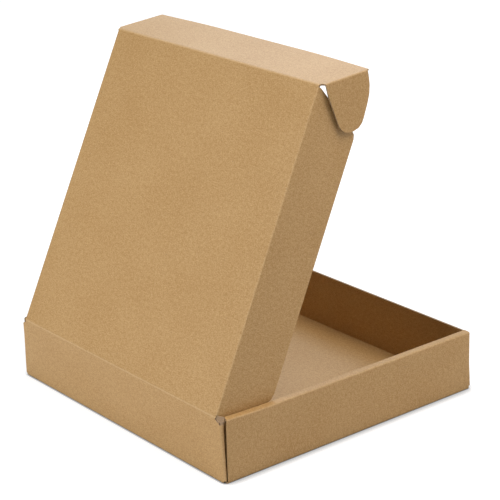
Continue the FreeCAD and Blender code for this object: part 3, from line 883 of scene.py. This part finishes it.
flap_patches = [[[flap_spot(x, share) for x in flap_columns] for share in flap_shares]]
for side in (-1, 1):
    panel_edge = [flap_spot(side * FLAP_PANEL_HALF, share) for share in flap_shares]
    lock = [[lock_spot(side, station, share) for share in flap_shares] for station in lock_section[1:]]
    flap_patches.append([panel_edge] + lock)

tuck_flap = board("tuck_flap_board", flap_patches)
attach(tuck_flap, "tuck_flap")
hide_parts("tuck_flap")

# ---------------------------------------------------------------------------------------------
# Creases
# The sheet is pressed thin along its two moving folds, and bends there. Each crease is the strip of
# board between two panels, rubbed pale on the outside, with a painted highlight along its middle.
# ---------------------------------------------------------------------------------------------

WALL_UP = Vector((0, HINGE_LEAN, HINGE.z)).normalized()
WALL_IN = Vector((0, -1, HINGE_LEAN / HINGE.z))
CREASE_BLANK_START = 0.7
CREASE_SOFTNESS = 0.25
# Pale wear and painted highlight along the crease's middle, and how fast they fade from it.
CREASE_WEAR_AND_HIGHLIGHT = 2.4
CREASE_WEAR_AND_HIGHLIGHT_FADE = 1.7
FLAP_CREASE_HALF = NOTCH_PLACE - NOTCH_ROUND


def crease(name, middle, before, after, in_before, in_after, reach_in, half):
    """A strip of board bent over a crease. before and after lead away from it along the panels."""
    corner_in = BOARD * math.tan(before.angle(-after) / 2)
    rows = []
    for place in evenly(-1, 1, 12):
        arm, other, inward = (before, after, in_before) if place < 0 else (after, before, in_after)
        soft = CREASE_SOFTNESS * (1 - abs(place)) ** 2
        outside = middle + (arm * abs(place) + (arm + other) * soft) * CREASE_REACH
        inside = middle + arm * mixed(corner_in, reach_in, abs(place)) + inward * BOARD
        # Paler in the middle of the crease: rubbing and a painted highlight.
        pressed = CREASE_WEAR_AND_HIGHLIGHT * max(0, 1 - CREASE_WEAR_AND_HIGHLIGHT_FADE * abs(place))
        row = []
        for share in evenly(-1, 1, 24):
            x = share * half(place * CREASE_REACH)
            blank = (x, CREASE_BLANK_START + place * CREASE_REACH)
            row.append(Spot(outside + Vector((x, 0, 0)), inside + Vector((x, 0, 0)), blank, pressed))
        rows.append(row)
    return board(name, [rows])


def hinge_crease_half(past):
    """Half the crease's width, this far past its middle. The round reliefs cut into its lower side."""
    cut = math.sqrt(max(0, RELIEF_ROUND**2 - (past + RELIEF_DROP) ** 2))
    return min(LID_BACK_HALF, RELIEF_PLACE - cut)


def tuck_crease_half(past):
    return mixed(lid_half(LID_LENGTH), FLAP_CREASE_HALF, max(0, past / CREASE_REACH))


hinge_crease = crease(
    "hinge_crease", HINGE, -WALL_UP, LID_ALONG, WALL_IN, LID_IN, CREASE_INSIDE, hinge_crease_half
)
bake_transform(hinge_crease)

tuck_crease = crease(
    "tuck_crease", TUCK, -LID_ALONG, FLAP_ALONG, LID_IN, FLAP_IN, TUCK_INSIDE, tuck_crease_half
)
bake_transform(tuck_crease)

# ---------------------------------------------------------------------------------------------
# Floor and light
# A plain white table in a studio, under four soft round lamps: one overhead, one behind the hinge
# wall, a small one low at the front left and a small cool one at the front right. The table glows
# a little, so that it looks white to the camera, and carries a painted contact shadow at the box's foot.
# ---------------------------------------------------------------------------------------------

TABLE_HALF = 4
TABLE_PAINT = 0.7
TABLE_PAINT_SEEN = 0.3
GLOW_START = 0.25
GLOW_END = 0.9
GLOW_NEAR = 0.86
# These shape the painted contact shadow round the box's foot.
SHADE_TOWARDS = (0.45, 0.62, 0.64)
SHADE_BESIDE = 0.014
SHADE_BEHIND = 0.0025
SHADE_TURN = (0.134, 0.138)
SHADE_POWER = 1.5
SHADE_LIFT = 1.29
AIR_LIGHT = 0.02
WARM = (1, 0.95, 0.92)
NEUTRAL = (1, 0.985, 0.965)
COOL = (0.83, 0.98, 1.14)


def ranged(tree, value, before, after, interpolation="LINEAR"):
    """Turns a value that runs over the range before into one that runs over the range after."""
    node = tree.nodes.new("ShaderNodeMapRange")
    node.interpolation_type = interpolation
    for name, limit in zip(("From Min", "From Max", "To Min", "To Max"), (*before, *after)):
        node.inputs[name].default_value = limit
    tree.links.new(value, node.inputs["Value"])
    return node.outputs["Result"]


def ray_is(rays, *kinds):
    """1 for rays of any of these kinds, and 0 for all others."""
    found = rays.outputs[kinds[0]]
    for kind in kinds[1:]:
        found = node_maths(rays.id_data, "MAXIMUM", found, rays.outputs[kind])
    return found


def white_table():
    """White paint, with a glow for the camera and for reflections alone. Both carry a painted contact
    shadow at the box's foot.
    """
    material = bpy.data.materials.new("white_table")
    material.use_nodes = True
    tree = material.node_tree
    tree.nodes.clear()
    maths = partial(node_maths, tree)
    place = tree.nodes.new("ShaderNodeTexCoord").outputs["Object"]
    rays = tree.nodes.new("ShaderNodeLightPath")

    # Painted contact shadow: occlusion near the box darkens paint and glow. It reaches out beside the box
    # and barely behind it.
    contact_shadow_occlusion = tree.nodes.new("ShaderNodeAmbientOcclusion")
    contact_shadow_occlusion.inputs["Normal"].default_value = SHADE_TOWARDS
    shade_reach = ranged(tree, parted(tree, place)["Y"], SHADE_TURN, (SHADE_BESIDE, SHADE_BEHIND))
    tree.links.new(shade_reach, contact_shadow_occlusion.inputs["Distance"])
    painted_contact_shadow = maths("POWER", contact_shadow_occlusion.outputs["AO"], SHADE_POWER)
    painted_contact_shadow = maths("MULTIPLY", painted_contact_shadow, SHADE_LIFT, clamp=True)

    paint = tree.nodes.new("ShaderNodeBsdfDiffuse")
    tone = ranged(tree, ray_is(rays, "Is Camera Ray"), (0, 1), (TABLE_PAINT, TABLE_PAINT_SEEN))
    tree.links.new(maths("MULTIPLY", painted_contact_shadow, tone), paint.inputs["Color"])

    glow = tree.nodes.new("ShaderNodeEmission")
    glow.inputs["Color"].default_value = (1, 1, 1, 1)
    from_box = tree.nodes.new("ShaderNodeVectorMath")
    from_box.operation = "LENGTH"
    tree.links.new(place, from_box.inputs[0])
    fade = ranged(tree, from_box.outputs["Value"], (GLOW_START, GLOW_END), (GLOW_NEAR, 1), "SMOOTHSTEP")
    seen = ray_is(rays, "Is Camera Ray", "Is Glossy Ray")
    tree.links.new(maths("MULTIPLY", seen, maths("MULTIPLY", fade, painted_contact_shadow)), glow.inputs["Strength"])

    # From below, the table is clear.
    both = tree.nodes.new("ShaderNodeAddShader")
    tree.links.new(paint.outputs["BSDF"], both.inputs[0])
    tree.links.new(glow.outputs["Emission"], both.inputs[1])
    below = tree.nodes.new("ShaderNodeNewGeometry")
    clear = tree.nodes.new("ShaderNodeBsdfTransparent")
    pick = tree.nodes.new("ShaderNodeMixShader")
    tree.links.new(below.outputs["Backfacing"], pick.inputs["Fac"])
    tree.links.new(both.outputs["Shader"], pick.inputs[1])
    tree.links.new(clear.outputs["BSDF"], pick.inputs[2])
    output = tree.nodes.new("ShaderNodeOutputMaterial")
    tree.links.new(pick.outputs["Shader"], output.inputs["Surface"])
    return material


table_mesh = bpy.data.meshes.new("table")
table_corners = [(x * TABLE_HALF, y * TABLE_HALF, 0) for x, y in ((-1, -1), (1, -1), (1, 1), (-1, 1))]
table_mesh.from_pydata(table_corners, [], [(0, 1, 2, 3)])
table_mesh.materials.append(white_table())
table = bpy.data.objects.new("table", table_mesh)
table.location.z = -0.0001
bpy.context.scene.collection.objects.link(table)

studio = bpy.data.worlds.new("studio")
studio.use_nodes = True
bpy.context.scene.world = studio
tree = studio.node_tree
tree.nodes.clear()
rays = tree.nodes.new("ShaderNodeLightPath")
seen = ray_is(rays, "Is Camera Ray", "Is Glossy Ray", "Is Transmission Ray")
air = tree.nodes.new("ShaderNodeBackground")
air.inputs["Color"].default_value = (1, 1, 1, 1)
tree.links.new(ranged(tree, seen, (0, 1), (AIR_LIGHT, 1)), air.inputs["Strength"])
output = tree.nodes.new("ShaderNodeOutputWorld")
tree.links.new(air.outputs["Background"], output.inputs["Surface"])


def softbox(name, place, aim, size, power, colour):
    lamp = bpy.data.lights.new(name, "AREA")
    lamp.shape = "DISK"
    lamp.size = size
    lamp.energy = power
    lamp.color = colour
    holder = bpy.data.objects.new(name, lamp)
    holder.location = place
    holder.rotation_euler = (Vector(aim) - Vector(place)).to_track_quat("-Z", "Y").to_euler()
    bpy.context.scene.collection.objects.link(holder)


softbox("key_lamp", (-0.68, -0.24, 1.42), (0, 0, 0.12), 0.9, 15, WARM)
softbox("front_lamp", (-0.66, -0.80, 0.50), (0, 0, 0.12), 0.6, 2.2, WARM)
softbox("back_lamp", (0.12, 1.37, 0.73), (0, 0, 0.12), 0.9, 14, NEUTRAL)
softbox("far_lamp", (0.80, -0.72, 1.05), (0, 0, 0.25), 0.6, 6.2, COOL)

# ---------------------------------------------------------------------------------------------
# Camera
# It stands 1.7 m off, past the hinge wall's left end, and looks down on the open box through a long
# lens. It is rolled a little to one side.
# ---------------------------------------------------------------------------------------------

CAMERA_TARGET = Vector((0.0721, -0.0675, 0.0870))
CAMERA_AZIMUTH = math.radians(231.535)
CAMERA_HEIGHT = math.radians(20.082)
CAMERA_ROLL = math.radians(-1.623)
CAMERA_DISTANCE = 1.6828

lens = bpy.data.cameras.new("camera")
lens.sensor_width = 36
lens.lens = 131.7
lens.clip_start = 0.1
lens.clip_end = 30
camera = bpy.data.objects.new("camera", lens)
back = Vector(
    (
        math.sin(CAMERA_AZIMUTH) * math.cos(CAMERA_HEIGHT),
        -math.cos(CAMERA_AZIMUTH) * math.cos(CAMERA_HEIGHT),
        math.sin(CAMERA_HEIGHT),
    )
)
level_view = (-back).to_track_quat("-Z", "Y").to_matrix()
camera.matrix_world = (
    Matrix.Translation(CAMERA_TARGET + back * CAMERA_DISTANCE)
    @ (level_view @ Matrix.Rotation(CAMERA_ROLL, 3, "Z")).to_4x4()
)
bpy.context.scene.collection.objects.link(camera)
bpy.context.scene.camera = camera
bpy.context.scene.view_settings.view_transform = "Standard"
